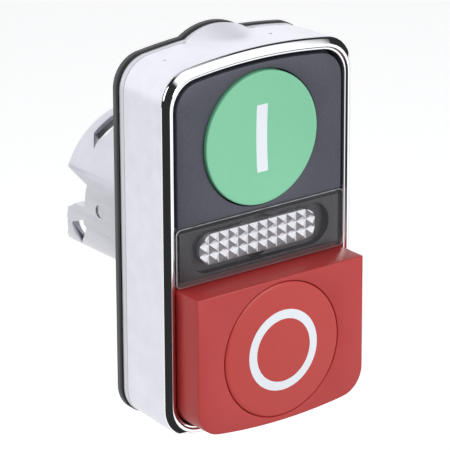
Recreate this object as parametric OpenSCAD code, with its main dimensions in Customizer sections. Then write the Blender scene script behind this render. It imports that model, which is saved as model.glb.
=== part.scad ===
// Twin push-button head for a 22.5 mm panel hole: a flush start button, a
// clear pilot window and a projecting stop button in one upright chrome bezel.
// X is to the right, +Y goes back into the panel, +Z is up. The origin is the
// centre of the mounting collar on the panel's front face.

/* [Head outline] */
// Width of the bezel
head_w = 30; // [28:0.5:36]
// Height of the bezel at its middle
head_h = 50.3; // [48:0.1:60]
// How much lower the bottom edge lies than the top edge's mirror image
heel = 0.4; // [0:0.05:0.6]
// Radius that the top and bottom edges are bowed to
bow_r = 78; // [60:1:120]
// Radius of the bezel's upright corners
corner_r = 4.4; // [3:0.1:6]
// Share of an inset that an inner corner loses from its radius
corner_step = 0.4; // [0.2:0.1:0.8]

/* [Bezel] */
// Panel face to the foot of the polished lip
rim_h = 10.5; // [9.5:0.1:14]
// How much smaller the bezel is at its rear rim than at its foot, on each side
flare = 0.35; // [0:0.05:0.4]
// Height of the polished lip over its foot
lip_rise = 0.8; // [0.4:0.1:1.2]
// Width of the lip, which is also the bezel's wall
lip_w = 1.55; // [1.2:0.05:2]
// Radius of the locating bulge at the top rear edge
bulge_r = 8.6; // [6:0.1:12]
// Height of the bulge over the top edge
bulge_rise = 1.2; // [0.8:0.1:2]
// Tilt that lets the bulge fade out towards the front
bulge_tilt = 12; // [8:1:20]

/* [Body casting] */
// Thickness of the base plate's visible edge
plate_t = 1; // [0.8:0.1:1.5]
// Height of the pad inside the bezel
pad_t = 0.5; // [0.3:0.1:1]
// Radius of the mounting collar
collar_r = 11; // [10.6:0.05:11.2]
// Length of the collar behind the panel's front face
collar_l = 17.2; // [15.5:0.1:22]
// How far the collar's two ramped wings reach behind its rear edge
wing_l = 5.2; // [3:0.1:7]
// Wall of the collar in front of the guide plate
collar_wall = 2; // [1.8:0.1:2.4]
// Wall of the collar behind the guide plate
mouth_wall = 1.6; // [1.2:0.1:1.8]
// Length of the full round land that locates in the panel hole
land_l = 5.2; // [4:0.1:6]
// How much smaller the collar is under the seal and behind the land
collar_drop = 0.2; // [0.2:0.05:0.3]
// Depth of the relief on two sides of the collar
relief = 0.4; // [0.3:0.05:0.6]
// Depth of the notch in the collar's rear edge
notch_l = 4.8; // [3:0.1:5]
// Rear edge of the collar to the front of its bayonet slot
slot_l = 3.9; // [3.2:0.1:4.2]
// Rear edge of the collar to the front of its locking window
window_l = 3.9; // [3.2:0.1:4.4]
// Rear edge of the collar to the locating dimple
dimple_l = 8.1; // [7.5:0.1:8.3]
// Radius of the dimple
dimple_r = 0.9; // [0.5:0.1:1]
// Depth of the dimple
dimple_d = 0.25; // [0.1:0.05:0.4]
// Thickness of the web that closes the collar
web_t = 1.5; // [1.2:0.1:2]

/* [Panel seal] */
// Thickness of the seal
seal_t = 1.1; // [0.8:0.1:1.6]
// Width of the seal's raised rim
seal_rim = 2.4; // [1.5:0.1:4]
// How far the seal stands out past the bezel
seal_proud = 0.1; // [0:0.05:0.3]
// Thickness of the seal's web round the collar
seal_web = 0.6; // [0.4:0.1:0.8]

/* [Front insert] */
// Height of the insert's face over the foot of the lip
insert_rise = 0.6; // [0.2:0.1:0.8]
// Thickness of the insert
insert_t = 1.5; // [1.2:0.1:2]
// Seam between the lip and the insert
insert_seam = 0.45; // [0.2:0.05:0.6]

/* [Pilot window] */
// Height of the window's upper edge
lens_top = 3.8; // [3:0.1:4]
// Depth of the window's lower edge
lens_low = 4.05; // [3.6:0.05:4.1]
// How far the window stands out past the insert
lens_rise = 0.4; // [0.2:0.1:0.8]
// Front wall of the window
lens_t = 0.5; // [0.4:0.05:0.8]
// Side wall of the window
lens_wall = 0.6; // [0.5:0.05:0.7]
// Length of the prism field
prism_l = 18.6; // [14:0.1:20]
// Height of the prism field
prism_h = 4.1; // [3:0.1:4.4]
// Columns of prisms
prism_cols = 12; // [8:1:16]
// Rows of prisms
prism_rows = 3; // [2:1:4]
// Height of one prism
prism_rise = 0.45; // [0.3:0.05:0.6]
// Length of the dark well round the prism field
well_l = 22.3; // [20.8:0.1:24]
// Height of the dark well
well_h = 5.7; // [4.8:0.1:5.8]
// Radius of the light guide
guide_r = 3; // [2:0.1:3.2]

/* [Buttons] */
// Height of the start button's axis
start_z = 13.35; // [13.2:0.05:13.8]
// Radius of the start cap
start_r = 8.8; // [7.5:0.1:8.9]
// Depth of the dish in the start cap
dish = 0.7; // [0.2:0.05:1]
// How far the start cap stands out past the insert
start_rise = 0.4; // [0.1:0.05:0.8]
// Depth of the stop button's axis
stop_z = 13.95; // [13.5:0.05:14.2]
// Radius of the stop button's round cap
stop_r = 9.1; // [7.5:0.1:9.3]
// How far the stop block stands out past the insert
stop_rise = 4.4; // [4.3:0.1:7]
// Depth of the stop block's upper face
stop_top = 4.25; // [4.2:0.05:5]
// Height of the dome on the stop cap
dome = 0.45; // [0.2:0.05:0.8]
// Travel of both buttons
travel = 4.3; // [3:0.1:4.3]
// Width of the start bar
bar_w = 1.7; // [1:0.1:3]
// Length of the start bar
bar_l = 8.9; // [6:0.1:12]
// Distance of the start bar to the right of the cap's axis
bar_x = 0.4; // [0:0.05:0.6]
// Distance of the start bar below the cap's axis
bar_drop = 0.2; // [0:0.05:0.4]
// Outer radius of the stop ring
ring_r = 5.45; // [4:0.05:7]
// Width of the stop ring
ring_w = 1.2; // [0.6:0.1:2]
// Depth of both symbols
symbol_t = 0.6; // [0.3:0.1:0.8]

/* [Plungers and springs] */
// Height of each leg's axis over the collar's axis
leg_z = 6.8; // [6.7:0.05:7]
// Width of a leg
leg_w = 4.8; // [3.6:0.1:5]
// Thickness of a leg
leg_t = 2.1; // [1.6:0.1:2.2]
// How far a leg's nibs stand out on each side
nib = 0.6; // [0.3:0.1:0.7]
// Radius of the pin at the end of a leg
pin_r = 1.2; // [0.8:0.05:1.3]
// Panel face to the end of the pin
pin_end = 13; // [11.5:0.1:16]
// Radius of the spring to the middle of its wire
coil_r = 1.75; // [1.6:0.05:1.9]
// Diameter of the spring's wire
wire_d = 0.35; // [0.2:0.05:0.4]
// Turns of each spring
coil_turns = 6; // [4:1:7]

/* [Guide plate and screws] */
// Panel face to the guide plate's seat
guide_y = 8.2; // [7.5:0.1:9]
// Thickness of the guide plate
guide_t = 2.2; // [1.6:0.1:3]
// Distance of each screw from the collar's axis
screw_x = 6.8; // [6.2:0.1:7]
// Radius of the posts that take the screws
post_r = 1.3; // [1.1:0.05:1.5]
// Radius of the screws' shanks
shank_r = 0.75; // [0.5:0.05:0.9]
// Radius of the screws' heads
screw_head_r = 1.6; // [1.3:0.05:1.9]

/* [Clearances] */
// Gap round the start cap and the stop block
button_gap = 0.2; // [0.15:0.05:0.4]
// Gap between a leg and the hole that it passes
leg_gap = 0.2; // [0.1:0.05:0.3]
// Radial running fit of the pins
run_fit = 0.06; // [0.02:0.01:0.1]
// Gap between moulded pieces that are fixed to each other
fit = 0.05; // [0.02:0.01:0.15]
// Gap between a moving piece and its stop
stop_gap = 0.3; // [0.2:0.05:0.5]

/* [Hidden] */
$fn = 96;

base_t = 1.4;          // floor of the button frame
frame_wall = 0.8;      // wall of the button frame
gasket_t = 0.4;        // flat gasket under the insert and the window
prism_plate_t = 0.6;   // plate behind the prisms
guide_head_t = 1.3;    // flared head of the light guide
guide_end = 12;        // rear end of the light guide
stem_seal_t = 1.4;     // rubber disc in the collar's mouth
cap_t = 2;             // face of the start cap
skirt_t = 1;           // skirt of the start cap
plunger_t = 1.2;       // plate of a plunger
block_wall = 1.2;      // wall of the stop block
block_face = 1.5;      // face of the stop block
seat_t = 0.8;          // seat that the stop cap lies in
seat_rim = 2;          // width of that seat
nib_l = 0.65;          // length of a leg's nibs
lens_edge = 0.35;      // chamfer round the window
screw_head_t = 1.1;    // height of a screw's head
screw_bite = 5;        // length of a screw in its post
slot_w = 0.4;          // width of a screw's slot
corner_lap = 0.3;      // how far the bowed ends run past the corners' tangent points
shell_gap = 0.15;      // gap between the bezel and the pieces inside it
lens_gap = 0.1;        // gap between the bezel and the window
lip_steps = [[0.12, 0.5], [0.3, 0.85], [0.5, 1]];  // shares of the lip's width and rise
relief_arc = [197, 250];  // angles that each relief runs between
wing_arc = [187, 250];    // angles that each wing runs between
ramp_angle = 213;      // middle of each wing's ramp
notch_angle = 180;     // angles of the collar's cuts, from +X towards +Z
slot_angle = 125;
window_angle = 208;
crown_steps = 16;      // steps from the middle of a cap to its edge
wire_sides = 8;        // sides of the spring's wire
coil_steps = 12;       // steps in one turn of a spring

flare_steps = 5;       // steps that the bezel's side wall narrows in

// Places along Y, from the panel to the front
y_plate = -seal_t;
y_rim = y_plate - plate_t;
y_floor = y_rim - pad_t;
y_foot = -rim_h;
y_lip = y_foot - lip_rise;
y_face = y_foot - insert_rise;
y_insert_back = y_face + insert_t;
y_frame_top = y_insert_back + gasket_t;
y_base = y_floor - base_t;
y_lens = y_face - lens_rise;
y_lens_in = y_lens + lens_t;
y_prism = y_lens_in + fit;
y_prism_base = y_prism + prism_rise;
y_prism_back = y_prism_base + prism_plate_t;
y_head_back = y_prism_back + guide_head_t;
y_start = y_face - start_rise;
y_stop = y_face - stop_rise;
y_button_back = y_base - travel - stop_gap;
y_web = y_floor + stem_seal_t;
y_web_back = y_web + web_t;
y_shoulder = y_web_back + nib_l + fit;
y_guide_back = guide_y + guide_t;

frame_inset = lip_w + shell_gap;
insert_inset = lip_w + insert_seam;
block_inset = lip_w + button_gap;
seam_z = 0.1;          // seam between the insert and the window
lens_hw = head_w / 2 - lip_w - lens_gap;
lens_mid = (lens_top - lens_low) / 2;
housing_hw = head_w / 2 - frame_inset - frame_wall - fit;
bore_r = collar_r - collar_wall;
mouth_r = collar_r - mouth_wall;
neck_r = collar_r - collar_drop;
bulge_z = head_h / 2 - flare + bulge_rise - bulge_r;
wall_step = (y_rim - y_foot) / flare_steps;
flare_step = flare / (flare_steps - 1);

// ---- shared shapes ----

// A round piece with a crowned front, or a dished one where rise is negative
module crown(r, y0, y1, rise, z) {
    front = [for (i = [0:crown_steps]) let (q = i / crown_steps) [q * r, rise * (1 - q * q) - y0]];
    translate([0, 0, z]) rotate([90, 0, 0]) rotate_extrude()
        polygon(concat(front, [[r, -y1], [0, -y1]]));
}

// A flat outline in X and Z, as a slab from y0 back to y1
module slab(y0, y1) {
    translate([0, y1, 0]) rotate([90, 0, 0]) linear_extrude(y1 - y0) children();
}

// A round bar along Y
module bar(r, y0, y1, x = 0, z = 0) {
    translate([x, y1, z]) rotate([90, 0, 0]) cylinder(r = r, h = y1 - y0);
}

// A box by its width and its two corners in Y and Z
module block(w, y0, y1, z0, z1) {
    translate([-w / 2, y0, z0]) cube([w, y1 - y0, z1 - z0]);
}

// The head's outline: upright sides, bowed ends and round corners
module outline(inset) {
    hw = head_w / 2 - inset;
    hh = head_h / 2 - inset;
    big = bow_r - inset;
    r = corner_r - corner_step * max(inset, 0);
    xc = hw - r;
    zc = sqrt(pow(big - r, 2) - xc * xc) - (big - hh);
    xt = xc * big / (big - r) + corner_lap;
    intersection() {
        translate([0, hh - big]) circle(r = big, $fn = 360);
        translate([0, big - hh - heel]) circle(r = big, $fn = 360);
        translate([-xt, -hh - heel]) square([2 * xt, 2 * hh + heel]);
    }
    translate([-hw, -zc - heel]) square([2 * hw, 2 * zc + heel]);
    for (sx = [-1, 1], z = [zc, -zc - heel]) translate([sx * xc, z]) circle(r = r);
}

// The part of that outline between two heights
module outline_part(inset, z0, z1) {
    intersection() {
        outline(inset);
        translate([-head_w, z0]) square([2 * head_w, z1 - z0]);
    }
}

// A slot shape with round ends, long in X
module stadium(l, h) {
    square([l - h, h], center = true);
    for (s = [-1, 1]) translate([s * (l - h) / 2, 0]) circle(r = h / 2);
}

// The bulge's outline at the rear edge
module bulge_outline(proud) {
    translate([0, bulge_z]) circle(r = bulge_r + proud);
}

// A ring sector round Y: angles run from +X to +Z
module sector(a0, a1, r0, r1, y0, y1) {
    rotate([90, 0, 0]) rotate([0, 0, a0]) rotate_extrude(angle = a1 - a0)
        translate([r0, -y1]) square([r1 - r0, y1 - y0]);
}

// A prism through the collar's wall: points are [y, distance round the collar]
module wall_cut(angle, points) {
    rotate([0, -angle, 0]) translate([mouth_r / 2, 0, 0]) rotate([90, 0, 90])
        linear_extrude(collar_r) polygon(points);
}

// Holes for both legs, with room on every side
module leg_holes(gap, y0, y1) {
    for (s = [-1, 1])
        block(leg_w + 2 * gap, y0, y1, s * leg_z - leg_t / 2 - gap, s * leg_z + leg_t / 2 + gap);
}

// Holes for both posts
module post_holes(r, y0, y1) {
    for (s = [-1, 1]) bar(r, y0, y1, s * screw_x);
}

// A leg with its nibs, its shoulder and its pin
module leg(y0, s) {
    block(leg_w, y0, y_shoulder, s * leg_z - leg_t / 2, s * leg_z + leg_t / 2);
    block(leg_w + 2 * nib, y_web_back + fit, y_shoulder, s * leg_z - leg_t / 2, s * leg_z + leg_t / 2);
    bar(pin_r, y_shoulder, pin_end, 0, s * leg_z);
}

// A compression spring along Y, between two seats
function coil_centre(i, n, y0, y1) =
    let (a = 360 * coil_turns * i / n)
    [coil_r * cos(a), y0 + wire_d / 2 + (y1 - y0 - wire_d) * i / n, coil_r * sin(a)];
function coil_point(i, j, n, y0, y1) =
    let (a = 360 * coil_turns * i / n, b = 360 * j / wire_sides)
    coil_centre(i, n, y0, y1) + wire_d / 2 * [cos(b) * cos(a), sin(b), cos(b) * sin(a)];
module spring(y0, y1, z) {
    n = coil_turns * coil_steps;
    m = wire_sides;
    points = [for (i = [0:n], j = [0:m - 1]) coil_point(i, j, n, y0, y1)];
    left = [for (i = [0:n - 1], j = [0:m - 1]) [i * m + j, (i + 1) * m + j, (i + 1) * m + (j + 1) % m]];
    right = [for (i = [0:n - 1], j = [0:m - 1])
        [i * m + j, (i + 1) * m + (j + 1) % m, i * m + (j + 1) % m]];
    start = [for (j = [0:m - 1]) j];
    end = [for (j = [0:m - 1]) n * m + m - 1 - j];
    translate([0, 0, z]) polyhedron(points, concat(left, right, [start], [end]));
}

// ---- the fixed pieces ----

module bezel_shell() {
    color("gainsboro") difference() {
        union() {
            for (i = [0:flare_steps - 1])
                slab(y_foot, y_rim - i * wall_step) outline(flare - i * flare_step);
            for (s = lip_steps) slab(y_foot - lip_rise * s[1], y_foot) outline(lip_w * s[0]);
            intersection() {
                translate([0, y_rim, bulge_z])
                    rotate([90 + bulge_tilt, 0, 0]) translate([0, 0, -bulge_r])
                        cylinder(r = bulge_r, h = 3 * bulge_r);
                block(head_w, y_foot, y_rim, head_h / 2 - lip_w, head_h);
            }
        }
        slab(y_lip - 1, y_rim + 1) outline(lip_w);
    }
}

module body_casting() {
    color("silver") difference() {
        union() {
            slab(y_rim, y_plate) {
                outline(flare);
                bulge_outline(0);
            }
            slab(y_floor, y_rim) outline(frame_inset);
            bar(neck_r, y_rim, collar_l);
            bar(collar_r, 0, land_l);
            for (turn = [0, 180]) rotate([0, turn, 0])
                sector(wing_arc[0], wing_arc[1], mouth_r, neck_r, collar_l - 1, collar_l + wing_l);
        }
        bar(bore_r, y_floor - 1, y_web);
        bar(bore_r, y_web_back, guide_y);
        bar(mouth_r, guide_y, collar_l + wing_l + 1);
        leg_holes(leg_gap, y_floor, y_web_back + 1);
        bar(guide_r + leg_gap, y_floor, y_web_back + 1);
        post_holes(post_r + leg_gap, y_floor, y_web_back + 1);
        for (turn = [0, 180]) rotate([0, turn, 0]) {
            sector(relief_arc[0], relief_arc[1], collar_r - relief, collar_r + 1,
                land_l, collar_l + wing_l + 1);
            // ramp of the wing
            wall_cut(ramp_angle, [
                [collar_l - 0.8, -5], [collar_l - 0.7, -4.4], [collar_l + 1.7, -0.4],
                [collar_l + wing_l, 3.4], [collar_l + wing_l + 1, 3.4], [collar_l + wing_l + 1, -5]
            ]);
            // notch that the fixing base turns into
            wall_cut(notch_angle, [
                [collar_l - notch_l, -2.7], [collar_l - notch_l, 0.4], [collar_l - 2.4, 0.4],
                [collar_l - 1.3, 1.2], [collar_l + 1, 1.5], [collar_l + 1, -4.2], [collar_l - 0.4, -3.8]
            ]);
            // bayonet slot with a slanted end
            wall_cut(slot_angle, [
                [collar_l - slot_l, -5.4], [collar_l - slot_l, 0.4], [collar_l - 3.3, 1.5],
                [collar_l - 3.5, 2.9], [collar_l - 1.6, 0.9], [collar_l - 1.6, -5.4]
            ]);
            // slanted window for the locking tooth
            wall_cut(window_angle, [
                [collar_l - 0.4, -1.3], [collar_l - window_l, -2.9], [collar_l - window_l + 0.2, -1.3],
                [collar_l - 2.2, 0.4], [collar_l - 0.2, 2.2], [collar_l + 2, 4.2]
            ]);
            // locating dimple
            translate([-neck_r - 1, collar_l - dimple_l, 0])
                rotate([0, 90, 0]) cylinder(r = dimple_r, h = 1 + dimple_d);
        }
    }
}

module panel_seal() {
    color("dimgray") difference() {
        union() {
            difference() {
                slab(y_plate, 0) {
                    outline(flare - seal_proud);
                    bulge_outline(seal_proud);
                }
                slab(y_plate + seal_web, 1) outline(seal_rim);
            }
            bar(collar_r + seal_rim, y_plate, 0);
        }
        bar(collar_r + fit, y_plate - 1, 1);
    }
}

module button_frame() {
    color("#26262a") difference() {
        union() {
            slab(y_base, y_floor) outline(frame_inset);
            difference() {
                slab(y_frame_top, y_base) outline_part(frame_inset, -lens_low, head_h);
                slab(y_frame_top - 1, y_base + 1) outline(frame_inset + frame_wall);
            }
            post_holes(post_r, y_floor, guide_y);
        }
        leg_holes(leg_gap, y_base - 1, y_floor + 1);
        bar(guide_r + fit, y_base - 1, y_floor + 1);
        post_holes(shank_r + fit / 2, guide_y - screw_bite, guide_y + 1);
    }
}

module front_gasket() {
    color("#1c1c1e") difference() {
        slab(y_insert_back, y_frame_top) outline_part(frame_inset, -lens_low, head_h);
        slab(y_insert_back - 1, y_frame_top + 1) outline(frame_inset + frame_wall);
    }
}

module front_insert() {
    color("#58585f") difference() {
        slab(y_face, y_insert_back) outline_part(insert_inset, lens_top + seam_z, head_h);
        bar(start_r + button_gap, y_face - 1, y_insert_back + 1, 0, start_z);
    }
}

module lamp_housing() {
    color("#2e2e31") difference() {
        union() {
            block(2 * housing_hw, y_insert_back, y_base, -lens_low, lens_top);
            block(2 * (lens_hw - lens_wall - fit), y_lens_in + fit, y_insert_back,
                -lens_low + lens_wall + fit, lens_top - lens_wall - fit);
        }
        translate([0, 0, lens_mid]) {
            slab(y_lens_in - 1, y_prism_back) stadium(well_l, well_h);
            slab(y_lens_in - 1, y_head_back) stadium(prism_l + 2 * fit, prism_h + 2 * fit);
        }
        bar(guide_r + fit, y_lens, y_base + 1);
    }
}

module light_guide() {
    color("lightcyan", 0.6) {
        translate([0, 0, lens_mid]) slab(y_prism_back, y_head_back) stadium(prism_l, prism_h);
        bar(guide_r, y_head_back, guide_end);
    }
}

// A row of n teeth across a length, pointing to the front
module teeth(n, length) {
    pitch = length / n;
    polygon(concat(
        [[-length / 2, y_prism_back]],
        [for (i = [0:2 * n]) [i * pitch / 2 - length / 2, i % 2 == 0 ? y_prism_base : y_prism]],
        [[length / 2, y_prism_back]]
    ));
}

// Four-sided prisms, where the columns of teeth cross the rows
module prism_diffuser() {
    color("aliceblue", 0.7) translate([0, 0, lens_mid]) intersection() {
        translate([0, 0, -prism_h]) linear_extrude(2 * prism_h) teeth(prism_cols, prism_l);
        translate([prism_l, 0, 0]) rotate([0, -90, 0]) linear_extrude(2 * prism_l) teeth(prism_rows, prism_h);
        slab(y_prism - 1, y_prism_back) stadium(prism_l, prism_h);
    }
}

module lens_cover() {
    color("lightgray", 0.4) difference() {
        union() {
            block(2 * lens_hw, y_lens + lens_edge, y_insert_back, -lens_low, lens_top);
            block(2 * (lens_hw - lens_edge), y_lens, y_insert_back,
                -lens_low + lens_edge, lens_top - lens_edge);
        }
        block(2 * (lens_hw - lens_wall), y_lens_in, y_insert_back + 1,
            -lens_low + lens_wall, lens_top - lens_wall);
    }
}

module stem_seal() {
    color("#1f1f21") difference() {
        bar(bore_r - fit, y_floor, y_web);
        leg_holes(run_fit, y_floor - 1, y_web + 1);
        bar(guide_r + fit, y_floor - 1, y_web + 1);
        post_holes(post_r + fit, y_floor - 1, y_web + 1);
    }
}

module guide_plate() {
    color("#3a3a3e") difference() {
        bar(mouth_r - fit, guide_y, y_guide_back);
        bar(guide_r + fit, guide_y - 1, y_guide_back + 1);
        for (s = [-1, 1]) bar(pin_r + run_fit, guide_y - 1, y_guide_back + 1, 0, s * leg_z);
        post_holes(shank_r + fit, guide_y - 1, y_guide_back + 1);
    }
}

module frame_screws() {
    color("lightsteelblue") for (s = [-1, 1]) difference() {
        union() {
            bar(shank_r, guide_y - screw_bite + fit, y_guide_back, s * screw_x);
            bar(screw_head_r, y_guide_back, y_guide_back + screw_head_t, s * screw_x);
        }
        translate([s * screw_x, y_guide_back + screw_head_t, 0])
            cube([2 * screw_head_r + 1, screw_head_t, slot_w], center = true);
    }
}

// ---- the start button ----

module start_bar(y0) {
    z = start_z - bar_drop;
    translate([bar_x, 0, 0]) block(bar_w, y0, y_start + dish + symbol_t, z - bar_l / 2, z + bar_l / 2);
}

module start_cap() {
    color("mediumseagreen") difference() {
        crown(start_r, y_start, y_button_back, -dish, start_z);
        bar(start_r - skirt_t, y_start + cap_t, y_button_back + 1, 0, start_z);
        start_bar(y_start - 1);
    }
}

module start_symbol() {
    color("white") intersection() {
        start_bar(y_start);
        crown(start_r, y_start, y_button_back, -dish, start_z);
    }
}

module start_plunger() {
    color("#e6e6e2") {
        bar(start_r - skirt_t - fit, y_start + cap_t, y_button_back, 0, start_z);
        leg(y_button_back, 1);
    }
}

module start_spring() {
    color("silver") spring(y_shoulder, guide_y, leg_z);
}

// ---- the stop button ----

module stop_head() {
    color("#be5557") difference() {
        slab(y_stop, y_button_back) outline_part(block_inset, -head_h, -stop_top);
        slab(y_stop + block_face, y_button_back + 1)
            outline_part(block_inset + block_wall, -head_h, -stop_top - block_wall);
        bar(stop_r + fit, y_stop - 1, y_stop + seat_t, 0, -stop_z);
        bar(stop_r - seat_rim, y_stop - 1, y_stop + block_face + 1, 0, -stop_z);
    }
}

module stop_ring(y0) {
    difference() {
        bar(ring_r, y0, y_stop + symbol_t - dome, 0, -stop_z);
        bar(ring_r - ring_w, y0 - 1, y_stop + symbol_t, 0, -stop_z);
    }
}

module stop_cap() {
    color("#c2484c") difference() {
        union() {
            crown(stop_r, y_stop, y_stop + seat_t, dome, -stop_z);
            bar(stop_r - seat_rim - fit, y_stop + seat_t / 2, y_stop + block_face, 0, -stop_z);
        }
        stop_ring(y_stop - 2);
    }
}

module stop_symbol() {
    color("white") intersection() {
        stop_ring(y_stop - 1);
        crown(stop_r, y_stop, y_stop + seat_t, dome, -stop_z);
    }
}

module stop_plunger() {
    y0 = y_stop + block_face;
    color("#e6e6e2") {
        bar(stop_r - seat_rim, y0, y0 + plunger_t, 0, -stop_z);
        leg(y0, -1);
    }
}

module stop_spring() {
    color("silver") spring(y_shoulder, guide_y, -leg_z);
}

bezel_shell();
body_casting();
panel_seal();
button_frame();
front_gasket();
front_insert();
lamp_housing();
light_guide();
prism_diffuser();
lens_cover();
stem_seal();
guide_plate();
frame_screws();
start_cap();
start_symbol();
start_plunger();
start_spring();
stop_head();
stop_cap();
stop_symbol();
stop_plunger();
stop_spring();
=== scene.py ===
# %% [markdown]
# # A twin push-button head
# This head sits on a control panel, in a round hole 22.5 mm across. One chromed bezel
# holds a flush green start button, a clear window with a lamp behind it, and a red stop
# button that stands proud so that a hand finds it first. The metal collar behind goes
# through the panel and locks into a fixing base.
#
# The engineering model is already made. It is loaded as a frame that never changes, and
# this lesson builds the pieces that are seen around it. A piece that only needs a finish
# keeps its engineering mesh. A piece that needs a softer shape is modelled here, and it
# takes its sizes from the frame.

# %% Load the frame
import math
import bmesh
import bpy
from mathutils import Matrix, Vector


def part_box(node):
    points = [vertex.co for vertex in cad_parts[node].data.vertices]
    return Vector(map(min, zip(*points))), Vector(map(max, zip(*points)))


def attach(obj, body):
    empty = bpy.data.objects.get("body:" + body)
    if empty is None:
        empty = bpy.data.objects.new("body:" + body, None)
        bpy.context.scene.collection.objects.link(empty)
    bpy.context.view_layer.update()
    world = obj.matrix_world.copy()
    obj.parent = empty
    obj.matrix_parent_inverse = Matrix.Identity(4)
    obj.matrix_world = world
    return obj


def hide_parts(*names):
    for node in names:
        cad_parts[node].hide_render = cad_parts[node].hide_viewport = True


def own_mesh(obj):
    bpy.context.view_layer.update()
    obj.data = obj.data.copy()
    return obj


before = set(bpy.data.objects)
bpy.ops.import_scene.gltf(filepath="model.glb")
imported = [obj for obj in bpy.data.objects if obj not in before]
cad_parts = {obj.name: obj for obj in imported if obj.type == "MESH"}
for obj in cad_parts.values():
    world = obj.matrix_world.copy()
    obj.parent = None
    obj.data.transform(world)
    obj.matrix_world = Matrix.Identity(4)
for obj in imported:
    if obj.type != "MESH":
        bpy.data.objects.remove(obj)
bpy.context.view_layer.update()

# %% [markdown]
# ## Sizes
# Everything below is in metres, as the frame is. X runs to the right, Y goes back into
# the panel and Z is up. Reading the sizes off the frame keeps both models the same: if the
# head gets taller there, it gets taller here. Only what the frame can't say, such as how
# round an edge is, is a number of its own.
#
# The head's lower end is the mirror image of its upper end, moved down by the small `heel`.
# The outline stays a `hair` inside the frame's, so that no rounding of numbers carries a
# piece past the engineering model.

# %% Read the sizes
mm = 0.001
hair = 0.001 * mm
weld = 0.0005 * mm


def low(node):
    """The lowest corner of a node's box."""
    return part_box(node)[0]


def high(node):
    """The highest corner of a node's box."""
    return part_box(node)[1]


heel = 0.4 * mm
head_hw = high("bezel_shell").x - hair
head_hh = -low("bezel_shell").z - heel - hair
bow_r = 78 * mm
corner_r = 4.4 * mm
y_lip = low("bezel_shell").y
y_rim = high("bezel_shell").y
lip_w = 1.55 * mm
start_z = (low("start_cap").z + high("start_cap").z) / 2
start_r = high("start_cap").x
stop_z = (low("stop_cap").z + high("stop_cap").z) / 2
stop_r = high("stop_cap").x
print(f"head {2 * head_hw / mm:.1f} by {2 * head_hh / mm:.1f} mm")

# %% [markdown]
# ## Drawing an outline
# The head's outline has upright sides, ends that are gently bowed, and round corners. It
# could be a curve, or a rectangle with beveled corners. Here a single vertex is used like
# a pen: `spin` sweeps it along each arc, and an extrusion carries it down each side. Every
# outline then has its points in the same order, however far it is pulled in.
#
# A true offset would take the full inset off each corner's radius. The ring's inner
# corners are rounder than that, so a corner gives up only a share of the inset.

# %% The outline pen
corner_share = 0.4
corner_steps = 8
bow_steps = 20
round_steps = 96
front_axis = (0, -1, 0)


def sweep(bm, vert, centre, angle, steps):
    """Draws an arc from a point, and returns the point at its end."""
    made = bmesh.ops.spin(bm, geom=[vert], cent=centre, axis=front_axis, angle=angle, steps=steps)
    return made["geom_last"][0]


def draw_to(bm, vert, place):
    """Draws a straight line from a point, and returns the point at its end."""
    end = bmesh.ops.extrude_vert_indiv(bm, verts=[vert])["verts"][0]
    end.co = place
    return end


def corner(inset):
    """The centre and radius of a corner, the bow's radius, and the angle where they meet."""
    big = bow_r - inset
    r = corner_r - corner_share * inset
    x = head_hw - inset - r
    z = math.sqrt((big - r) ** 2 - x * x) - (big - (head_hh - inset))
    return x, z, r, big, math.asin(x / (big - r))


def end_z(z, side):
    """A height at the top end, or its mirror image at the slightly lower bottom end."""
    return z if side > 0 else -z - heel


def draw_end(bm, pen, inset, y, side):
    """Carries the pen over one end of the outline. side is 1 at the top and -1 below."""
    x, z, r, big, turn = corner(inset)
    z, middle = end_z(z, side), end_z(head_hh - inset - big, side)
    pen = sweep(bm, pen, (side * x, y, z), math.pi / 2 - turn, corner_steps)
    pen = sweep(bm, pen, (0, y, middle), 2 * turn, bow_steps)
    return sweep(bm, pen, (-side * x, y, z), math.pi / 2 - turn, corner_steps)


def places(bm):
    """The points of a drawing, in the order in which they were drawn."""
    found = [v.co.copy() for v in bm.verts]
    bm.free()
    return found


def head_outline(inset, y):
    """The whole outline, pulled in by an inset, at a depth."""
    x, z, r, big, turn = corner(inset)
    bm = bmesh.new()
    pen = draw_end(bm, bm.verts.new((x + r, y, z)), inset, y, 1)
    pen = draw_to(bm, pen, (-x - r, y, end_z(z, -1)))
    draw_end(bm, pen, inset, y, -1)
    return places(bm)


def end_outline(inset, y, z_cut, side):
    """One end of the outline, cut off straight at a height."""
    x, z, r, big, turn = corner(inset)
    bm = bmesh.new()
    edge_x = side * (x + r)
    pen = draw_to(bm, bm.verts.new((edge_x, y, z_cut)), (edge_x, y, end_z(z, side)))
    pen = draw_end(bm, pen, inset, y, side)
    draw_to(bm, pen, (-edge_x, y, z_cut))
    return places(bm)


def circle_outline(radius, y, z):
    """A circle at a depth and a height, with its last point one step short of its first."""
    bm = bmesh.new()
    pen = bm.verts.new((radius, y, z))
    sweep(bm, pen, (0, y, z), 2 * math.pi * (round_steps - 1) / round_steps, round_steps - 1)
    return places(bm)


print("points in one outline:", len(head_outline(0, 0)))

# %% [markdown]
# `bridge_loops` can join two outlines, but it guesses which points belong together, and
# on a symmetric outline in one plane it can guess wrong. Extruding the outline's edges
# and moving the new points to the next outline can't go wrong, so walls are lofted so.

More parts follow.
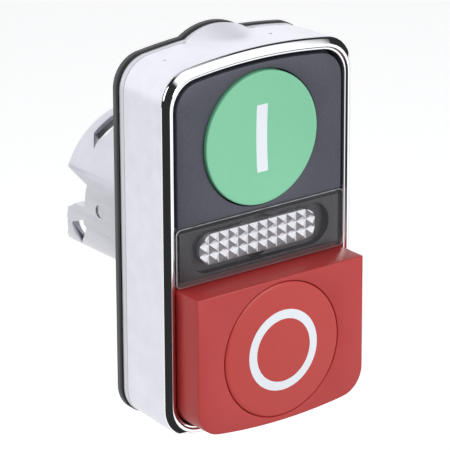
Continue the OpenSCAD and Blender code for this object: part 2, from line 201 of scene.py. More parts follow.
# %% The loft
def loft(bm, outlines):
    """Walls through a list of outlines. Returns the loop of edges at each one."""
    verts = [bm.verts.new(place) for place in outlines[0]]
    edges = [bm.edges.new(pair) for pair in zip(verts, verts[1:] + verts[:1])]
    loops = [edges]
    for before, after in zip(outlines, outlines[1:]):
        made = bmesh.ops.extrude_edge_only(bm, edges=edges)["geom"]
        grown = {g.co.copy().freeze(): g for g in made if isinstance(g, bmesh.types.BMVert)}
        new_verts = set(grown.values())
        edges = [g for g in made if isinstance(g, bmesh.types.BMEdge)
                 and all(v in new_verts for v in g.verts)]
        for old, new in zip(before, after):
            grown[old.copy().freeze()].co = new
        loops.append(edges)
    return loops


bm = bmesh.new()
print("edges in one loop:", len(loft(bm, [circle_outline(stop_r, 0, stop_z)])[0]))
bm.free()

# %% [markdown]
# ## Finishing a mesh
# Moulded and cast pieces have no perfectly sharp edges, and the thin line of light along
# an edge is what makes a piece look real. So one helper bevels every edge that turns by
# more than a set angle. It then merges doubles, points all faces outwards, shades the soft
# edges smooth and leaves the rest crisp. A live Bevel modifier would do as well, but a
# finished mesh shows its final shape.

# %% Helpers that finish a piece
sharp_angle = math.radians(28)


def break_edges(bm, width, segments=2):
    """Rounds every edge that turns by more than the sharp angle."""
    sharp = [e for e in bm.edges if len(e.link_faces) == 2 and e.calc_face_angle(0) > sharp_angle]
    bmesh.ops.bevel(bm, geom=sharp, offset=width, affect="EDGES", segments=segments,
                    profile=0.5, material=-1, clamp_overlap=True)


def close_up(bm):
    """Merges doubles and points all faces outwards."""
    bmesh.ops.remove_doubles(bm, verts=bm.verts, dist=weld)
    bmesh.ops.recalc_face_normals(bm, faces=bm.faces)


def make_piece(bm, name, finish, body, nodes, smooth=math.radians(32)):
    """Turns a bmesh into an object that rides on a body and stands for CAD nodes."""
    mesh = bpy.data.meshes.new(name)
    bm.to_mesh(mesh)
    bm.free()
    mesh.shade_smooth()
    mesh.set_sharp_from_angle(angle=smooth)
    mesh.materials.append(finish)
    piece = bpy.data.objects.new(name, mesh)
    bpy.context.scene.collection.objects.link(piece)
    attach(piece, body)
    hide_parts(*nodes)
    print(f"{name}: {len(mesh.polygons)} faces")
    return piece


print("edges are broken above", round(math.degrees(sharp_angle)), "degrees")

# %% [markdown]
# ## Writing shaders as sums
# A material is a graph of nodes, and a graph is hard to read in code. This small class
# wraps the output of a node, so that `1 - mask * 0.5` adds the Math nodes by itself. The
# second class is a finish: it holds the one Principled shader, and a single method adds
# any other node. A value that is the same everywhere goes straight on the shader.

# %% Shader helpers
class Wire:
    """The output of a node, with arithmetic."""

    def __init__(self, finish, socket):
        self.finish = finish
        self.socket = socket

    def maths(self, operation, *values):
        """Adds a Math node."""
        return self.finish.node("Math", {"operation": operation}, dict(enumerate(values)))

    def __add__(self, other):
        return self.maths("ADD", self, other)

    def __sub__(self, other):
        return self.maths("SUBTRACT", self, other)

    def __rsub__(self, other):
        return self.maths("SUBTRACT", other, self)

    def __mul__(self, other):
        return self.maths("MULTIPLY", self, other)

    __radd__ = __add__
    __rmul__ = __mul__

    def above(self, edge, blur):
        """0 below the edge and 1 above it, with a soft step."""
        return self.finish.node("MapRange", {"interpolation_type": "SMOOTHSTEP"},
                                {"Value": self, "From Min": edge - blur, "From Max": edge + blur})


class Finish:
    """A material with one Principled shader."""

    def __init__(self, name, **settings):
        self.material = bpy.data.materials.new(name)
        self.material.use_nodes = True
        self.tree = self.material.node_tree
        self.shader = self.tree.nodes["Principled BSDF"]
        for socket, value in settings.items():
            self.shader.inputs[socket.replace("_", " ")].default_value = value
        self.place = self.node("TexCoord", out="Object")

    def node(self, kind, settings=None, values=None, out=0):
        """Adds a node. The settings come first, then the values or links of its sockets."""
        made = self.tree.nodes.new("ShaderNode" + kind)
        for key, value in (settings or {}).items():
            setattr(made, key, value)
        for key, value in (values or {}).items():
            if isinstance(value, Wire):
                self.tree.links.new(value.socket, made.inputs[key])
            else:
                made.inputs[key].default_value = value
        return Wire(self, made.outputs[out])

    def feed(self, socket, wire):
        """Links a wire to one of the shader's sockets."""
        self.tree.links.new(wire.socket, self.shader.inputs[socket])

    def noise(self, scale, detail=3.0, stretch=(1, 1, 1)):
        """Soft random patches. A stretch below 1 draws them out along that axis."""
        spot = self.node("Mapping", {}, {"Vector": self.place, "Scale": stretch})
        return self.node("TexNoise", {}, {"Vector": spot, "Scale": scale, "Detail": detail,
                                          "Roughness": 0.55})

    def cells(self, scale):
        """The distance to the nearest of many scattered points, for pits and specks."""
        return self.node("TexVoronoi", {}, {"Vector": self.place, "Scale": scale})

    def blend(self, factor, a, b):
        """Colour a where the factor is 0, and b where it is 1."""
        return self.node("Mix", {"data_type": "RGBA"}, {0: factor, 6: a, 7: b}, out=2)

    def bumps(self, height, distance, strength):
        """Lets a height tilt the surface."""
        values = {"Height": height, "Distance": distance, "Strength": strength}
        self.feed("Normal", self.node("Bump", {}, values))

    def axis(self, name):
        """How far along an axis a point of the piece lies."""
        return self.node("SeparateXYZ", {}, {"Vector": self.place}, out=name)


def grey(value, blue=1.0):
    """A grey with a little more blue in it, as a colour."""
    return (value, value, min(1.0, value * blue), 1)


print("shader helpers ready")

# %% [markdown]
# ## The chrome
# The bezel and the casting are zinc, plated with nickel and chrome. The side walls keep
# the faint mottle of the casting under a satin plate, with a few pits, while the front lip
# is buffed to a mirror. Two materials would leave a hard line where they meet, so one
# material changes its roughness with depth instead: rough behind, and mirror smooth from
# the front edge on. The casting is a little darker, since it is never buffed.

# %% Satin and polished chrome
def chrome(name, tone, polish_from=None):
    """Satin chrome. Where polish_from is given, it turns to a mirror in front of that depth."""
    made = Finish(name, Metallic=1.0)
    mottle = made.noise(420, 4)
    streak = made.noise(90, 2, stretch=(1, 1, 0.35))
    pit_mask = made.cells(330).above(0.075, 0.02)
    patchy = made.noise(170, 1).above(0.59, 0.03)
    pits = (1 - pit_mask) * patchy
    satin = made.blend(mottle, grey(0.66 * tone, 1.08), grey(0.82 * tone, 1.07))
    shaded = made.blend(streak.above(0.6, 0.25) * 0.5, satin, grey(0.60 * tone, 1.08))
    rough = mottle * 0.16 + 0.24
    height = mottle * 0.5 + streak
    if polish_from is not None:
        satin_part = made.axis("Y").above(polish_from, 0.05 * mm)
        buffed = made.blend(made.noise(600, 2), grey(0.86, 1.01), grey(0.92, 1.01))
        shaded = made.blend(satin_part, buffed, shaded)
        rough = satin_part * (rough - 0.05) + 0.05
        height = height * (satin_part * 0.85 + 0.15)
        pits = pits * (satin_part * 0.6 + 0.4)
    made.feed("Base Color", made.blend(pits, shaded, grey(0.09)))
    made.feed("Roughness", rough + pits * 0.4)
    made.bumps(height - pits * 1.5, 0.02 * mm, 0.5)
    return made.material


y_polished = y_lip + 0.76 * mm
bezel_chrome = chrome("bezel_chrome", tone=0.98, polish_from=y_polished)
casting_chrome = chrome("casting_chrome", tone=0.8)
print("chrome is polished in front of y =", round(y_polished / mm, 2), "mm")

# %% [markdown]
# ## Rubbers and plastics
# Moulded plastic copies the skin of its mould. The grey insert and the black pieces come
# from a spark-eroded mould, which leaves a fine grain that scatters light in tiny specks.
# The caps come from a smoother mould and look satin. Each finish mixes a fine noise, the
# grain, with a slow one that shifts the colour a little. The front of the seal lies in the
# narrow gap under the bezel, where no light reaches, so painted shade, near black in its
# colour, darkens it in front of a set depth.

# %% Plastics
def moulded(name, colour, spread, rough, grain, depth, speck=0.0, shade_from=None, **settings):
    """A moulded plastic or rubber.

    The colour varies by spread. The grain is a noise scale, and depth is its height in mm.
    Speck is how far its painted glints go to pale grey. Painted shade makes the piece near
    black in front of shade_from.
    """
    made = Finish(name, **settings)
    slow = made.noise(110, 2)
    fine = made.noise(grain, 2)
    pale = tuple(min(1.0, c * (1 + spread)) for c in colour) + (1,)
    deep = tuple(c * (1 - spread) for c in colour) + (1,)
    body = made.blend(slow * 0.5 + fine * 0.5, deep, pale)
    if speck:
        # Painted glints: pale grey specks that stand in for the light the grain scatters.
        painted_glints = made.cells(grain).above(0.1, 0.06)
        body = made.blend((1 - painted_glints) * speck, body, grey(0.5, 1.05))
    if shade_from is not None:
        # Painted shade: near black in front of shade_from, where the bezel shades the seal.
        body = made.blend(made.axis("Y").above(shade_from, 0.08 * mm), grey(0.006), body)
    made.feed("Base Color", body)
    made.feed("Roughness", made.noise(240, 3) * 0.14 + (rough - 0.07))
    made.bumps(fine, depth * mm, 0.6)
    return made.material


# Depth in front of which painted shade darkens the seal.
y_painted_shade = -0.65 * mm
seal_rubber = moulded("seal_rubber", (0.082, 0.082, 0.090), spread=0.12, rough=0.62,
                      grain=1500, depth=0.02, shade_from=y_painted_shade)
black_plastic = moulded("black_plastic", (0.012, 0.012, 0.016), spread=0.15, rough=0.36,
                        grain=2200, depth=0.015)
grey_plastic = moulded("grey_plastic", (0.050, 0.052, 0.075), spread=0.3, rough=0.5,
                       grain=2600, depth=0.03, speck=0.25)
green_plastic = moulded("green_plastic", (0.215, 0.620, 0.375), spread=0.05, rough=0.36,
                        grain=1200, depth=0.006)
red_plastic = moulded("red_plastic", (0.510, 0.040, 0.038), spread=0.06, rough=0.38,
                      grain=1500, depth=0.008, Specular_IOR_Level=0.35)
cap_red_plastic = moulded("cap_red_plastic", (0.540, 0.042, 0.034), spread=0.06, rough=0.34,
                          grain=1500, depth=0.008, Specular_IOR_Level=0.4)
white_plastic = moulded("white_plastic", (0.86, 0.91, 0.96), spread=0.02, rough=0.35,
                        grain=1500, depth=0.005)
natural_plastic = moulded("natural_plastic", (0.76, 0.75, 0.70), spread=0.04, rough=0.4,
                          grain=1400, depth=0.01)
print("the seal is dark in front of y =", round(y_painted_shade / mm, 2), "mm")

# %% [markdown]
# ## Clear plastic
# The window is clear, and the dark tray and the prisms show through it. Real glass
# shading bends the light, but it also blocks the lamps, so that what is behind looks
# black. A thin clear wall bends light very little. So the window is see-through by its
# Alpha, which rises where the surface turns away from the eye. The bright line along a
# rolled edge is a painted highlight: a narrow band just behind the window's face is
# denser too, and broken up by noise as moulded edges are.
#
# The prisms throw the light back from inside like small mirrors. They are nearly solid
# and partly metal for that reason.

# %% Clear plastics
def clear(name, face, edge, colour, rough, highlight_from=None, **settings):
    """A clear wall, as dense as face from the front and as edge where it turns away."""
    made = Finish(name, IOR=1.5, Specular_IOR_Level=1.0, **settings)
    tilt = made.node("LayerWeight", {}, {"Blend": 0.35}, out="Facing")
    cloud = made.noise(260, 2)
    made.feed("Base Color", made.blend(cloud, grey(colour * 0.92, 1.05), grey(colour, 1.05)))
    made.feed("Roughness", cloud * 0.05 + rough)
    dense = tilt.maths("POWER", tilt, 2.7) * (edge - face) + face
    # Painted highlight: from highlight_from on, a narrow band is made denser, so that the near
    # white colour shows there as a bright line along the rolled edge.
    if highlight_from is not None:
        depth = made.axis("Y")
        painted_rim_highlight = depth.above(highlight_from, highlight_blur) - depth.above(highlight_from + highlight_w, highlight_blur)
        dense = painted_rim_highlight * (made.noise(700, 1) * 0.8 + 0.1) + dense
    made.feed("Alpha", dense + cloud * 0.006)
    made.bumps(made.noise(150, 1), 0.02 * mm, 0.35)
    return made.material


highlight_w = 0.17 * mm
highlight_blur = 0.04 * mm
# Depth at which the window's painted highlight band starts.
y_painted_highlight = low("lens_cover").y + 0.2 * mm
window_clear = clear("window_clear", face=0.002, edge=0.85, colour=0.95, rough=0.03,
                     highlight_from=y_painted_highlight)
prism_clear = clear("prism_clear", face=0.88, edge=0.98, colour=0.85, rough=0.12, Metallic=0.65)
guide_clear = clear("guide_clear", face=0.35, edge=0.85, colour=0.80, rough=0.06)
print("the window's bright rim starts at y =", round(y_painted_highlight / mm, 2), "mm")

# %% [markdown]
# ## Steel
# The springs are drawn wire and the screws are zinc plated. Both are bright metals with
# fine lines, round the coils on the springs and along the shank on the screws. One noise
# gives them when it is squeezed along an axis or drawn out along it. It feeds the colour,
# the roughness and the bumps alike.

# %% Steels
def steel(name, colour, rough, stretch):
    """A bright metal. Its fine lines run across an axis above 1, and along one below 1."""
    made = Finish(name, Metallic=1.0)
    drawn = made.noise(900, 3, stretch=stretch)
    made.feed("Base Color", made.blend(drawn, grey(colour * 0.8, 1.03), grey(colour, 1.03)))
    made.feed("Roughness", drawn * 0.2 + rough)
    made.bumps(drawn, 0.008 * mm, 0.4)
    return made.material


spring_steel = steel("spring_steel", colour=0.66, rough=0.2, stretch=(1, 4, 1))
plated_steel = steel("plated_steel", colour=0.72, rough=0.25, stretch=(1, 0.3, 1))
print("steels: drawn wire and plated screws")

# %% [markdown]
# ## The bezel
# The bezel is one plated ring. Its side wall widens a little towards the front, so that
# the casting leaves its mould. There it turns over a small round into a chamfer, and the
# chamfer runs into the bead that carries the bright line round the front. Inside the bead
# a little step leads down to the insert. It could be a swept curve, but the corners of a
# sweep are true offsets, and the real ring's inner corners are rounder than that. So the
# section is a list of stations, each an inset and a depth, and the outlines at those
# stations are lofted into one closed ring. The two rounds are worked out as arcs.

# %% Model the bezel
def arc(inset, y, radius, start, end, steps):
    """Stations on an arc. Angle 0 faces outwards and 90 degrees faces the front."""
    turns = [math.radians(start + (end - start) * i / steps) for i in range(steps + 1)]
    return [(inset - radius * math.cos(a), y - radius * math.sin(a)) for a in turns]


flare = 0.35 * mm
rear_break = 0.1 * mm
y_wall_rear = y_rim - rear_break
edge_r = 0.6 * mm
y_edge = y_lip + 0.95 * mm
bead_r = 0.3 * mm
bead_inset = 0.9 * mm
chamfer_angle = 50
step_in_mm = [(1.06, 0), (1.12, 0.03), (1.17, 0.12), (1.22, 0.21), (1.28, 0.24), (1.42, 0.25),
              (1.5, 0.29), (1.55, 0.4), (1.55, 1.1)]

stations = [(lip_w, y_rim), (flare + rear_break, y_rim), (flare, y_wall_rear)]
stations += arc(edge_r, y_edge, edge_r, 0, chamfer_angle, 8)
stations += arc(bead_inset, y_lip + bead_r, bead_r, chamfer_angle, 90, 6)
stations += [(inset * mm, y_lip + depth * mm) for inset, depth in step_in_mm]
bm = bmesh.new()
loft(bm, [head_outline(inset, y) for inset, y in stations + stations[:1]])
close_up(bm)
print("stations in the bezel's section:", len(stations))

# %% [markdown]
# At the top of the ring a low bulge guides the head into line. It is highest at the rear
# edge and fades out towards the front. Instead of joining a second shape, the top wall is
# pushed out: each point rises to the surface of a tilted cylinder wherever that cylinder
# is higher. The wall needs more rows of points for this, so it is subdivided first.

# %% Push out the bulge
bulge_r = 8.6 * mm
bulge_tilt = math.radians(12)
bulge_top = high("bezel_shell").z
bulge_fade = 0.25 * mm
z_band = head_hh - 1.8 * mm
crest_half = 9 * mm
touch = 0.0001 * mm


def runs_along_wall(edge):
    """True for an edge that runs the full depth of the side wall."""
    front, rear = sorted(v.co.y for v in edge.verts)
    return abs(front - y_edge) < touch and abs(rear - y_wall_rear) < touch


def in_crest(vert):
    """True for a point of the top wall, near the middle."""
    return vert.co.z > z_band and abs(vert.co.x) < crest_half and vert.co.y > y_edge - touch


def run_x(edge):
    """How far an edge runs sideways."""
    return abs(edge.verts[0].co.x - edge.verts[1].co.x)


def raised(place):
    """The height of a point of the top wall once the bulge has pushed it out."""
    sunk = (y_rim - place.y) * math.tan(bulge_tilt)
    surface = bulge_top - bulge_r + math.sqrt(bulge_r ** 2 - place.x ** 2) - sunk
    step = surface - place.z
    if step <= -bulge_fade:
        return place.z
    return place.z + ((step + bulge_fade) ** 2 / (4 * bulge_fade) if step < bulge_fade else step)


wall = [e for e in bm.edges if runs_along_wall(e)]
bmesh.ops.subdivide_edges(bm, edges=wall, cuts=14, use_grid_fill=True)
crest = [e for e in bm.edges if all(in_crest(v) for v in e.verts) and run_x(e) > 0.01 * mm]
bmesh.ops.subdivide_edges(bm, edges=crest, cuts=2, use_grid_fill=True)
for v in bm.verts:
    on_wall = v.co.z > z_band and y_edge - touch < v.co.y < y_rim - rear_break / 2
    if on_wall and abs(v.co.x) < bulge_r:
        v.co.z = raised(v.co)
make_piece(bm, "bezel", bezel_chrome, "housing", ["bezel_shell"],
           smooth=math.radians(40))

# %% [markdown]
# ## The insert
# The grey insert is a flat moulding that fills the top of the bezel round the start
# button. It could be cut from a slab, but a cut leaves ragged faces round the hole. So it
# is drawn as two outlines and two circles, one pair at the front and one at the back. The
# walls are lofted, and the flat faces between outline and hole are filled.

# %% Model the insert
def plate_with_hole(outlines, holes):
    """A flat plate, closed between the first outlines and between the last ones."""
    made = bmesh.new()
    outside = loft(made, outlines)
    inside = loft(made, holes)
    for i in (0, -1):
        bmesh.ops.triangle_fill(made, use_beauty=True, edges=outside[i] + inside[i])
    return made


insert_low = low("front_insert").z
insert_inset = head_hw - high("front_insert").x
insert_y = (low("front_insert").y, high("front_insert").y)
button_gap = 0.2 * mm
bm = plate_with_hole([end_outline(insert_inset, y, insert_low, 1) for y in insert_y],
                     [circle_outline(start_r + button_gap, y, start_z) for y in insert_y])
close_up(bm)
break_edges(bm, 0.12 * mm)
make_piece(bm, "insert", grey_plastic, "housing", ["front_insert"])

# %% [markdown]
# ## The start button
# The green cap is turned: one section is spun round the button's axis. Its face is
# dished, so that a fingertip settles in it, and the dish follows the same parabola as the
# frame's. The section needs only a few points, because the rounding of the rim is added
# by the bevel.

# %% Model the start cap
def turned(section, z):
    """Spins a section of (radius, depth) points round an axis along Y at height z."""
    made = bmesh.new()
    verts = [made.verts.new((radius, y, z)) for radius, y in section]
    edges = [made.edges.new(pair) for pair in zip(verts, verts[1:])]
    bmesh.ops.spin(made, geom=verts + edges, cent=(0, 0, z), axis=front_axis,
                   angle=2 * math.pi, steps=round_steps, use_merge=True)
    close_up(made)
    return made


def crown_y(radius, edge, y_front, rise):
    """The depth of a crowned face: rise is negative where the face is dished."""
    return y_front - rise * (1 - (radius / edge) ** 2)


def crown_section(edge, y_front, rise):
    """The section of a crowned face, from its middle to its edge."""
    radii = [edge * i / crown_steps for i in range(crown_steps + 1)]
    return [(radius, crown_y(radius, edge, y_front, rise)) for radius in radii]


crown_steps = 14
y_start = low("start_cap").y
dish = 0.7 * mm
cap_wall = 1 * mm
cap_face = 2 * mm
section = crown_section(start_r, y_start, -dish)
section += [(start_r, high("start_cap").y), (start_r - cap_wall, high("start_cap").y),
            (start_r - cap_wall, y_start + cap_face), (0, y_start + cap_face)]
bm = turned(section, start_z)
break_edges(bm, 0.22 * mm, 3)
make_piece(bm, "start_cap_green", green_plastic, "start_button", ["start_cap"])

# %% [markdown]
# The white bar is moulded through the cap as a second shot, so it lies flush with the
# dish. It starts as a flat grid, which takes its size and its place from the frame's bar,
# and each point is moved to the depth of the dish at its place. The grid is then extruded
# back. It stands a hundredth of a millimetre proud, so that the surfaces don't flicker.

# %% Model the start bar
symbol_proud = 0.012 * mm
symbol_depth = 0.5 * mm


def inlay(made, edge, y_front, rise, z):
    """Wraps a flat face onto a crowned one, and gives it its depth."""
    faces = list(made.faces)
    for v in made.verts:
        radius = math.hypot(v.co.x, v.co.z - z)
        v.co.y = crown_y(radius, edge, y_front, rise) - symbol_proud
    grown = bmesh.ops.extrude_face_region(made, geom=faces)["geom"]
    for v in [g for g in grown if isinstance(g, bmesh.types.BMVert)]:
        v.co.y += symbol_depth
    close_up(made)


bar_middle = (low("start_symbol") + high("start_symbol")) / 2
bar_half = (high("start_symbol") - low("start_symbol")) / 2
to_bar = Matrix.Translation((bar_middle.x, 0, bar_middle.z))
upright = Matrix.Rotation(math.pi / 2, 4, "X")
bm = bmesh.new()
bmesh.ops.create_grid(bm, x_segments=6, y_segments=24, size=1,
                      matrix=to_bar @ upright @ Matrix.Diagonal((bar_half.x, bar_half.z, 1, 1)))
inlay(bm, start_r, y_start, -dish, start_z)
make_piece(bm, "start_bar_white", white_plastic, "start_button",
           ["start_symbol"], smooth=math.radians(50))

# %% [markdown]
# ## The stop button
# The red block is the lower end of the outline, cut off straight under the window, with
# a round seat for its cap. Its upper edges are crisp and its lower corners follow the
# bezel. It is the insert's plate and hole once more, with more outlines. They step inwards
# behind the face, so that the wall has its real thickness when it is seen from behind.

# %% Model the stop block
block_inset = head_hw - high("stop_head").x
block_wall = 1.2 * mm
block_face = 1.5 * mm
block_top = high("stop_head").z
y_stop = low("stop_head").y
y_block_back = high("stop_head").y
seat_r = stop_r + 0.05 * mm
seat_depth = 0.8 * mm
hole_r = seat_r - 2 * mm
inner_inset = block_inset + block_wall
inner_top = block_top - block_wall
bm = plate_with_hole(
    [end_outline(block_inset, y_stop, block_top, -1),
     end_outline(block_inset, y_block_back, block_top, -1),
     end_outline(inner_inset, y_block_back, inner_top, -1),
     end_outline(inner_inset, y_stop + block_face, inner_top, -1)],
    [circle_outline(seat_r, y_stop, stop_z),
     circle_outline(seat_r, y_stop + seat_depth, stop_z),
     circle_outline(hole_r, y_stop + seat_depth, stop_z),
     circle_outline(hole_r, y_stop + block_face, stop_z)])
close_up(bm)
break_edges(bm, 0.14 * mm)
make_piece(bm, "stop_block_red", red_plastic, "stop_button", ["stop_head"])

# %% [markdown]
# The round cap is a slightly crowned disc that snaps into the seat. The thin dark line
# round it is a real gap: the cap's rim is rounded, and the seat's mouth is beveled. The
# white ring is lofted flat, in a few narrow circles, and wrapped onto the crown.

# %% Model the stop cap and its ring
dome = 0.45 * mm
stop_cap_r = stop_r - 0.04 * mm
plug_r = stop_r - 2.05 * mm
section = crown_section(stop_cap_r, y_stop, dome)
section += [(stop_cap_r, y_stop + seat_depth), (plug_r, y_stop + seat_depth),
            (plug_r, y_stop + block_face), (0, y_stop + block_face)]
bm = turned(section, stop_z)
break_edges(bm, 0.12 * mm)
make_piece(bm, "stop_cap_red", cap_red_plastic, "stop_button", ["stop_cap"])

ring_r = high("stop_symbol").x
ring_w = 1.2 * mm
ring_steps = 4
radii = [ring_r - ring_w * i / ring_steps for i in range(ring_steps + 1)]
bm = bmesh.new()
loft(bm, [circle_outline(radius, y_stop, stop_z) for radius in radii])
inlay(bm, stop_cap_r, y_stop, dome, stop_z)
make_piece(bm, "stop_ring_white", white_plastic, "stop_button",
           ["stop_symbol"], smooth=math.radians(50))

# %% [markdown]
# ## The window
# The window is a clear box, open behind. Its front edges are rolled over, which is where
# its bright rims come from. A cube gives the outside, and the bevel comes before the wall
# is made, so that the inside is rounded as well. `solidify` then gives the wall.

# %% Model the window
lens_lo, lens_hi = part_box("lens_cover")
lens_wall = 0.5 * mm
lens_corner = 0.7 * mm
lens_brow = 0.4 * mm


def rounded(bm, edges, width, segments):
    """Rounds some of a box's edges."""
    bmesh.ops.bevel(bm, geom=edges, offset=width, affect="EDGES", segments=segments,
                    profile=0.5, material=-1)


def runs_back(edge):
    """True for an edge that runs from front to back."""
    return abs(edge.verts[0].co.y - edge.verts[1].co.y) > mm


def on_front(edge):
    """True for an edge of the window's front face."""
    return all(abs(v.co.y - lens_lo.y) < hair for v in edge.verts)


bm = bmesh.new()
to_middle = Matrix.Translation((lens_lo + lens_hi) / 2)
bmesh.ops.create_cube(bm, size=1, matrix=to_middle @ Matrix.Diagonal((*(lens_hi - lens_lo), 1)))
back = [f for f in bm.faces if f.normal.y > 0.9]
bmesh.ops.delete(bm, geom=back, context="FACES_ONLY")
rounded(bm, [e for e in bm.edges if runs_back(e)], lens_corner, 5)
rounded(bm, [e for e in bm.edges if on_front(e)], lens_brow, 4)
bmesh.ops.recalc_face_normals(bm, faces=bm.faces)
bmesh.ops.solidify(bm, geom=bm.faces[:], thickness=lens_wall)
bmesh.ops.remove_doubles(bm, verts=bm.verts, dist=weld)
make_piece(bm, "window", window_clear, "housing", ["lens_cover"])
print("window wall:", lens_wall / mm, "mm")

# %% [markdown]
# ## Softened engineering pieces
# Many pieces already have the right shape, and only their edges are too sharp. Their
# meshes are loose triangles, so a copy is merged, its flat areas are joined back into
# whole faces, and then its edges are broken. The original is left alone and is hidden.

# %% Copy and soften
def softened(node, name, finish, slot, body, width, segments):
    """Stands for a node with a merged copy of its mesh, whose edges are broken."""
    made = bmesh.new()
    made.from_mesh(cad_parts[node].data)
    bmesh.ops.remove_doubles(made, verts=made.verts, dist=hair)
    bmesh.ops.dissolve_limit(made, angle_limit=math.radians(1), verts=made.verts,
                             edges=made.edges)
    break_edges(made, width * mm, segments)
    make_piece(made, name, finish, body, [node])


# node, piece, finish, slot, body, width of the broken edges in mm, steps round an edge
soft_pieces = [
    ("body_casting", "casting", casting_chrome, "satin_chrome", "housing", 0.12, 2),
    ("panel_seal", "seal", seal_rubber, "seal_rubber", "housing", 0.1, 2),
    ("button_frame", "tray", black_plastic, "black_plastic", "housing", 0.08, 2),
    ("lamp_housing", "lamp_tray", black_plastic, "black_plastic", "housing", 0.15, 3),
    ("guide_plate", "guide", black_plastic, "black_plastic", "housing", 0.15, 2),
    ("start_plunger", "start_stem", natural_plastic, "natural_plastic", "start_button", 0.1, 2),
    ("stop_plunger", "stop_stem", natural_plastic, "natural_plastic", "stop_button", 0.1, 2),
    ("frame_screws", "screws", plated_steel, "plated_steel", "housing", 0.12, 2),
]
for soft_piece in soft_pieces:
    softened(*soft_piece)

# %% [markdown]
# ## Pieces that keep their engineering mesh
# The prisms must stay sharp, and the gasket, the stem seal and the light guide are plain
# shapes that are mostly hidden. They keep their meshes and only get their finishes.

# %% Finish the remaining nodes
# seal_rubber paints shade in front of y_painted_shade, so the gasket and the stem seal are near
# black where they lie in front of it.
kept = {
    "prism_diffuser": prism_clear,
    "light_guide": guide_clear,
    "front_gasket": seal_rubber,
    "stem_seal": seal_rubber,
}
for node, finish in kept.items():
    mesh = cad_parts[node].data
    mesh.materials.clear()
    mesh.materials.append(finish)
print("kept:", ", ".join(kept))

# %% [markdown]
# ## The springs
# Each button returns on a small compression spring round its stem. `spin` makes a helix
# when it is given a step along the axis, so a circle of wire is spun through six turns.

# %% Model the springs
turns = 6
steps_per_turn = 28
wire_r = 0.175 * mm
coil_r = 1.75 * mm


def spring(node, name):
    """A helix that fills its node's box."""
    lo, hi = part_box(node)
    z = (lo.z + hi.z) / 2
    length = hi.y - lo.y
    steps = steps_per_turn * turns
    step_back = (length - 2 * wire_r) / steps
    made = bmesh.new()
    bmesh.ops.create_circle(made, segments=10, radius=wire_r, cap_ends=False,
                            matrix=Matrix.Translation((coil_r, lo.y + wire_r, z)))
    bmesh.ops.spin(made, geom=made.verts[:] + made.edges[:], cent=(0, 0, z), axis=front_axis,
                   dvec=(0, step_back, 0), angle=2 * math.pi * turns, steps=steps)
    bmesh.ops.holes_fill(made, edges=[e for e in made.edges if e.is_boundary])
    close_up(made)
    piece = make_piece(made, name, spring_steel, "housing", [node])
    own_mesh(piece)


spring("start_spring", "start_coil")
spring("stop_spring", "stop_coil")

# %% [markdown]
# ## The floor
# The head floats over a sheet of white paper, as in a catalogue. A lit sheet alone would
# turn grey towards its far side, so it also gives off a little light of its own.

# %% Floor
floor_z = low("bezel_shell").z - 26 * mm
floor_half = 0.45
floor_middle = (0.1, 0.435, floor_z)
bm = bmesh.new()
bmesh.ops.create_grid(bm, x_segments=1, y_segments=1, size=floor_half,
                      matrix=Matrix.Translation(floor_middle))
mesh = bpy.data.meshes.new("floor")
bm.to_mesh(mesh)
bm.free()
paper = Finish("paper", Roughness=0.9, Emission_Color=(1, 1, 1, 1), Emission_Strength=0.4)
paper.feed("Base Color", paper.blend(paper.noise(40, 2), grey(0.93), grey(0.95)))
mesh.materials.append(paper.material)
floor = bpy.data.objects.new("floor", mesh)
bpy.context.scene.collection.objects.link(floor)
print("floor at", round(floor_z / mm, 1), "mm")

# %% [markdown]
# ## The surroundings
# Chrome shows the room more than itself, so the room is part of the finish. It is dark but
# for three soft patches: a wide one behind the head, one low at the front right, and one
# high in front. The bead of the bezel turns through all directions within a millimetre, and
# so it draws the patches as bright lines, with a dark line where the room is unlit. A
# panorama of a real studio would do the same, but a few directions are easier to steer.
#
# The patch high in front is mostly for reflections. Rays that light matt plastic see only
# a share of it, because it would wash out the reds.

# %% Surroundings
world = bpy.data.worlds.new("studio")
bpy.context.scene.world = world
world.use_nodes = True
tree = world.node_tree
tree.nodes.clear()
room_dark = 0.03
room_bright = 1.28
matt_share = 0.25


def add(kind, values=None, **settings):
    """Adds a node to the world, with its settings and the values or links of its sockets."""
    made = tree.nodes.new("ShaderNode" + kind)
    for key, value in settings.items():
        setattr(made, key, value)
    for key, value in (values or {}).items():
        if isinstance(value, bpy.types.NodeSocket):
            tree.links.new(value, made.inputs[key])
        else:
            made.inputs[key].default_value = value
    return made


def patch(direction, edge, blur):
    """A soft round patch: 1 around a direction, and 0 elsewhere. A high edge is a small one."""
    along = add("VectorMath", {0: eye, 1: direction}, operation="DOT_PRODUCT")
    limits = {"Value": along.outputs["Value"], "From Min": edge - blur, "From Max": edge + blur}
    return add("MapRange", limits, interpolation_type="SMOOTHSTEP").outputs[0]


def maths(operation, a, b):
    """One Math node."""
    return add("Math", {0: a, 1: b}, operation=operation).outputs[0]


def scaled(value, at_zero, at_one):
    """Carries 0 to one number and 1 to another."""
    return add("MapRange", {"Value": value, "To Min": at_zero, "To Max": at_one}).outputs[0]


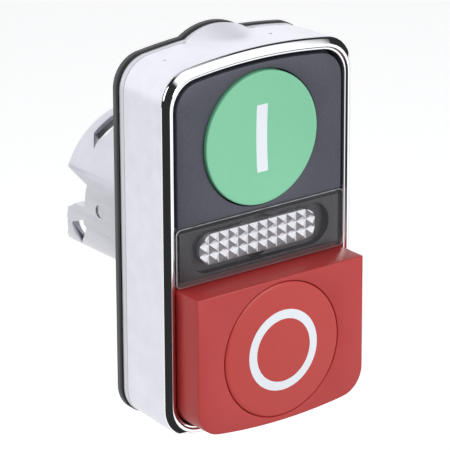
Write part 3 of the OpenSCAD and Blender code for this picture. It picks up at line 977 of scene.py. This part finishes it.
eye = add("TexCoord").outputs["Generated"]
ray = add("LightPath").outputs
behind = patch((-0.25, 0.97, 0), edge=0.35, blur=0.08)
low_right = patch((0.6, -0.71, -0.36), edge=0.84, blur=0.06)
high_front = patch((0.35, -0.71, 0.61), edge=0.86, blur=0.05)
seen_share = scaled(ray["Is Glossy Ray"], matt_share, 1)
low_patches = maths("MAXIMUM", behind, low_right)
lit = maths("MAXIMUM", low_patches, maths("MULTIPLY", high_front, seen_share))
strength = scaled(lit, room_dark, room_bright)
room = add("Background", {"Color": (0.97, 0.98, 1.0, 1), "Strength": strength}).outputs[0]
backdrop = add("Background", {"Color": (1, 1, 1, 1), "Strength": 1.0}).outputs[0]
mixed = add("MixShader", {0: ray["Is Camera Ray"], 1: room, 2: backdrop}).outputs[0]
add("OutputWorld", {"Surface": mixed})
print("nodes in the surroundings:", len(tree.nodes))

# %% [markdown]
# ## The lamps
# Three large soft boxes give the plastics their shape. Soft light from large areas leaves
# no hard shadows. The one on the left grazes the side wall, the large one in front lights
# the faces, and a weak one from above lifts the upper edges.

# %% Lamps
# name, place and size in metres, power in watts
lamps = [
    ("left_softbox", (-0.42, -0.22, 0.20), (0.22, 0.32), 0.64),
    ("front_softbox", (0.10, -0.50, 0.16), (0.30, 0.30), 1.6),
    ("top_softbox", (0.05, -0.02, 0.45), (0.30, 0.30), 0.15),
]
for name, place, size, power in lamps:
    light = bpy.data.lights.new(name, "AREA")
    light.shape = "RECTANGLE"
    light.size, light.size_y = size
    light.energy = power
    lamp = bpy.data.objects.new(name, light)
    lamp.location = place
    lamp.rotation_euler = (-Vector(place)).to_track_quat("-Z", "Y").to_euler()
    bpy.context.scene.collection.objects.link(lamp)
print("lamps:", len(lamps))

# %% [markdown]
# ## The camera
# The camera stands in front, to the left and above, with a long lens, so that upright
# edges stay nearly parallel. It is turned about Z first, then tipped, then rolled a hair.

# %% Camera
camera_place = (-0.24639, -0.33064, 0.14977)
azimuth, elevation, roll = (math.radians(a) for a in (-36.993, 20.159, -0.276))
camera = bpy.data.objects.new("camera", bpy.data.cameras.new("camera"))
bpy.context.scene.collection.objects.link(camera)
camera.data.sensor_width = 36
camera.data.lens = 271.2
camera.data.clip_start, camera.data.clip_end = 0.01, 10
aim = (Matrix.Rotation(azimuth, 4, "Z") @ Matrix.Rotation(math.pi / 2 - elevation, 4, "X")
       @ Matrix.Rotation(roll, 4, "Z"))
camera.matrix_world = Matrix.Translation(camera_place) @ aim
bpy.context.scene.camera = camera
bpy.context.scene.view_settings.view_transform = "Standard"
print("camera", [round(c / mm) for c in camera_place])
